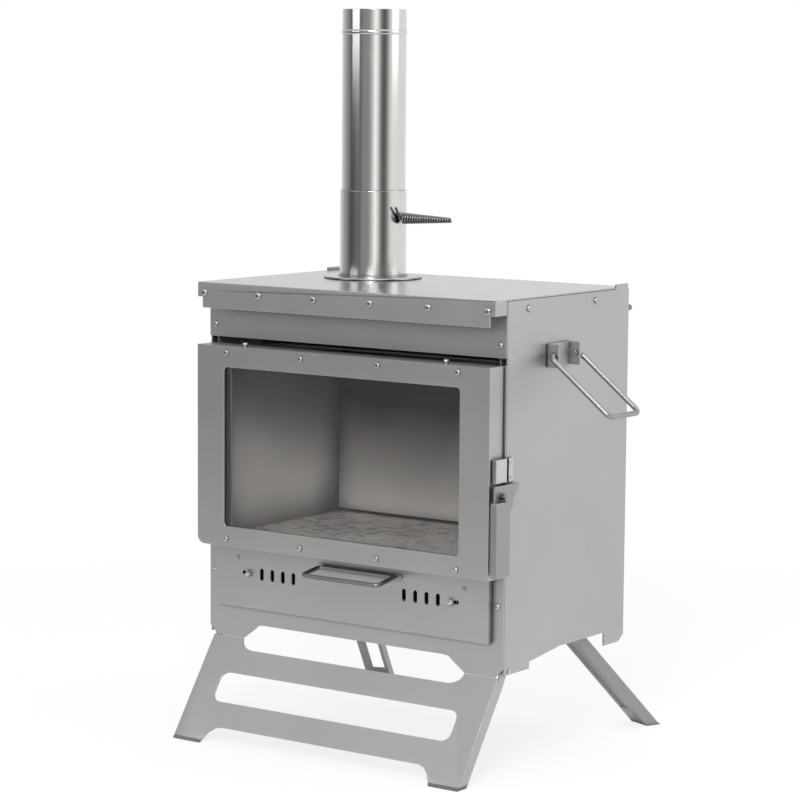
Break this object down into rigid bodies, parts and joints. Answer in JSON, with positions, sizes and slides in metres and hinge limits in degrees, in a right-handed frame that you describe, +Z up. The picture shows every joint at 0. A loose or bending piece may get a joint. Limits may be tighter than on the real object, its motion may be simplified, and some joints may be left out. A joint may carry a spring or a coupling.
{
  "type": "tent wood stove",
  "caption": "Sheet-steel tent wood stove on folding legs, with a glazed hinged door, a lever latch, an ash drawer with air shutters, bail handles and a damped flue.",
  "frame": {"origin": "on the floor, under the middle of the whole object with its right handle raised", "axes": "+Z up, -Y out of the door towards whoever faces it, +X towards the latch side"},
  "size_m": [0.4402, 0.3524, 0.7106],
  "materials": {
    "satin_steel": "brushed sheet steel",
    "polished_steel": "bright rolled steel",
    "inner_steel": "dull sheet steel",
    "sooted_steel": "sooted steel",
    "dark_steel": "dark wire and pins",
    "door_glass": "clear heat-proof glass",
    "glass_tape": "woven glass tape"
  },
  "bodies": {
    "firebox": {"side_panel_left": "satin_steel", "side_panel_right": "satin_steel", "back_panel": "satin_steel", "floor_panel": "satin_steel", "front_frame": "satin_steel", "upper_front_panel": "satin_steel", "lid": "polished_steel", "liner_left": "inner_steel", "liner_right": "inner_steel", "back_liner": "inner_steel", "grate": "sooted_steel", "baffle": "sooted_steel", "flue_collar": "polished_steel", "hinge_tab_lower": "satin_steel", "hinge_tab_upper": "satin_steel", "latch_keeper": "polished_steel", "handle_bracket_left": "satin_steel", "handle_bracket_right": "satin_steel", "rear_stud": "dark_steel", "front_leg_pin_left": "polished_steel", "front_leg_pin_right": "polished_steel", "rear_bracket_left": "satin_steel", "rear_bracket_right": "satin_steel", "rear_pin_left": "polished_steel", "rear_pin_right": "polished_steel"},
    "door": {"door_frame": "satin_steel", "window_gasket": "glass_tape", "door_glass": "door_glass", "glass_retainer": "satin_steel", "door_screw_1": "polished_steel", "door_screw_2": "polished_steel", "door_screw_3": "polished_steel", "door_screw_4": "polished_steel", "door_screw_5": "polished_steel", "door_screw_6": "polished_steel", "door_screw_7": "polished_steel", "door_screw_8": "polished_steel", "door_top_stud_left": "polished_steel", "door_top_stud_right": "polished_steel", "door_hinge_pin": "polished_steel", "latch_block": "polished_steel", "latch_pin": "dark_steel"},
    "latch": {"latch_lever": "dark_steel"},
    "ash_drawer": {"drawer_front": "satin_steel", "drawer_tray": "inner_steel", "drawer_pull": "dark_steel"},
    "shutter_left": {"air_shutter_left": "polished_steel"},
    "shutter_right": {"air_shutter_right": "polished_steel"},
    "lower_flue": {"flue_sleeve": "polished_steel"},
    "upper_flue": {"flue_pipe": "polished_steel"},
    "damper": {"damper_plate": "polished_steel", "damper_handle": "dark_steel"},
    "front_leg": {"front_leg": "satin_steel"},
    "left_rear_leg": {"rear_leg_left": "satin_steel"},
    "right_rear_leg": {"rear_leg_right": "satin_steel"},
    "left_handle": {"handle_bail_left": "dark_steel"},
    "right_handle": {"handle_bail_right": "dark_steel"}
  },
  "joints": [
    {"name": "door_hinge", "type": "hinge", "parent": "firebox", "child": "door", "pos_m": [-0.1985, -0.1196, 0.286], "axis": [0, 0, 1], "range_deg": [-100, 0]},
    {"name": "latch_pivot", "type": "hinge", "parent": "door", "child": "latch", "pos_m": [0.1477, -0.124, 0.266], "axis": [1, 0, 0], "range_deg": [-70, 0]},
    {"name": "drawer_slide", "type": "slide", "parent": "firebox", "child": "ash_drawer", "axis": [0, -1, 0], "range_m": [0, 0.15]},
    {"name": "left_shutter_slide", "type": "slide", "parent": "ash_drawer", "child": "shutter_left", "axis": [-1, 0, 0], "range_m": [0, 0.0062]},
    {"name": "right_shutter_slide", "type": "slide", "parent": "ash_drawer", "child": "shutter_right", "axis": [1, 0, 0], "range_m": [0, 0.0062]},
    {"name": "lower_flue_lift", "type": "slide", "parent": "firebox", "child": "lower_flue", "axis": [0, 0, 1], "range_m": [0, 0.03]},
    {"name": "upper_flue_lift", "type": "slide", "parent": "lower_flue", "child": "upper_flue", "axis": [0, 0, 1], "range_m": [0, 0.03]},
    {"name": "damper_turn", "type": "hinge", "parent": "lower_flue", "child": "damper", "pos_m": [-0.1095, 0.025, 0.5056], "axis": [1, 0, 0], "continuous": true},
    {"name": "front_leg_fold", "type": "hinge", "parent": "firebox", "child": "front_leg", "pos_m": [-0.0315, -0.102, 0.0996], "axis": [1, 0, 0], "range_deg": [0, 124.4]},
    {"name": "left_rear_leg_fold", "type": "hinge", "parent": "firebox", "child": "left_rear_leg", "pos_m": [-0.1599, 0.0712, 0.104], "axis": [0.9311, 0.3649, 0], "range_deg": [-133.5, 0]},
    {"name": "right_rear_leg_fold", "type": "hinge", "parent": "firebox", "child": "right_rear_leg", "pos_m": [0.0969, 0.0712, 0.104], "axis": [0.9311, -0.3649, 0], "range_deg": [-133.5, 0]},
    {"name": "left_handle_swing", "type": "hinge", "parent": "firebox", "child": "left_handle", "pos_m": [-0.2145, -0.026, 0.389], "axis": [0, 1, 0], "range_deg": [-2, 173]},
    {"name": "right_handle_swing", "type": "hinge", "parent": "firebox", "child": "right_handle", "pos_m": [0.1515, -0.026, 0.389], "axis": [0, 1, 0], "range_deg": [-123, 52]}
  ]
}
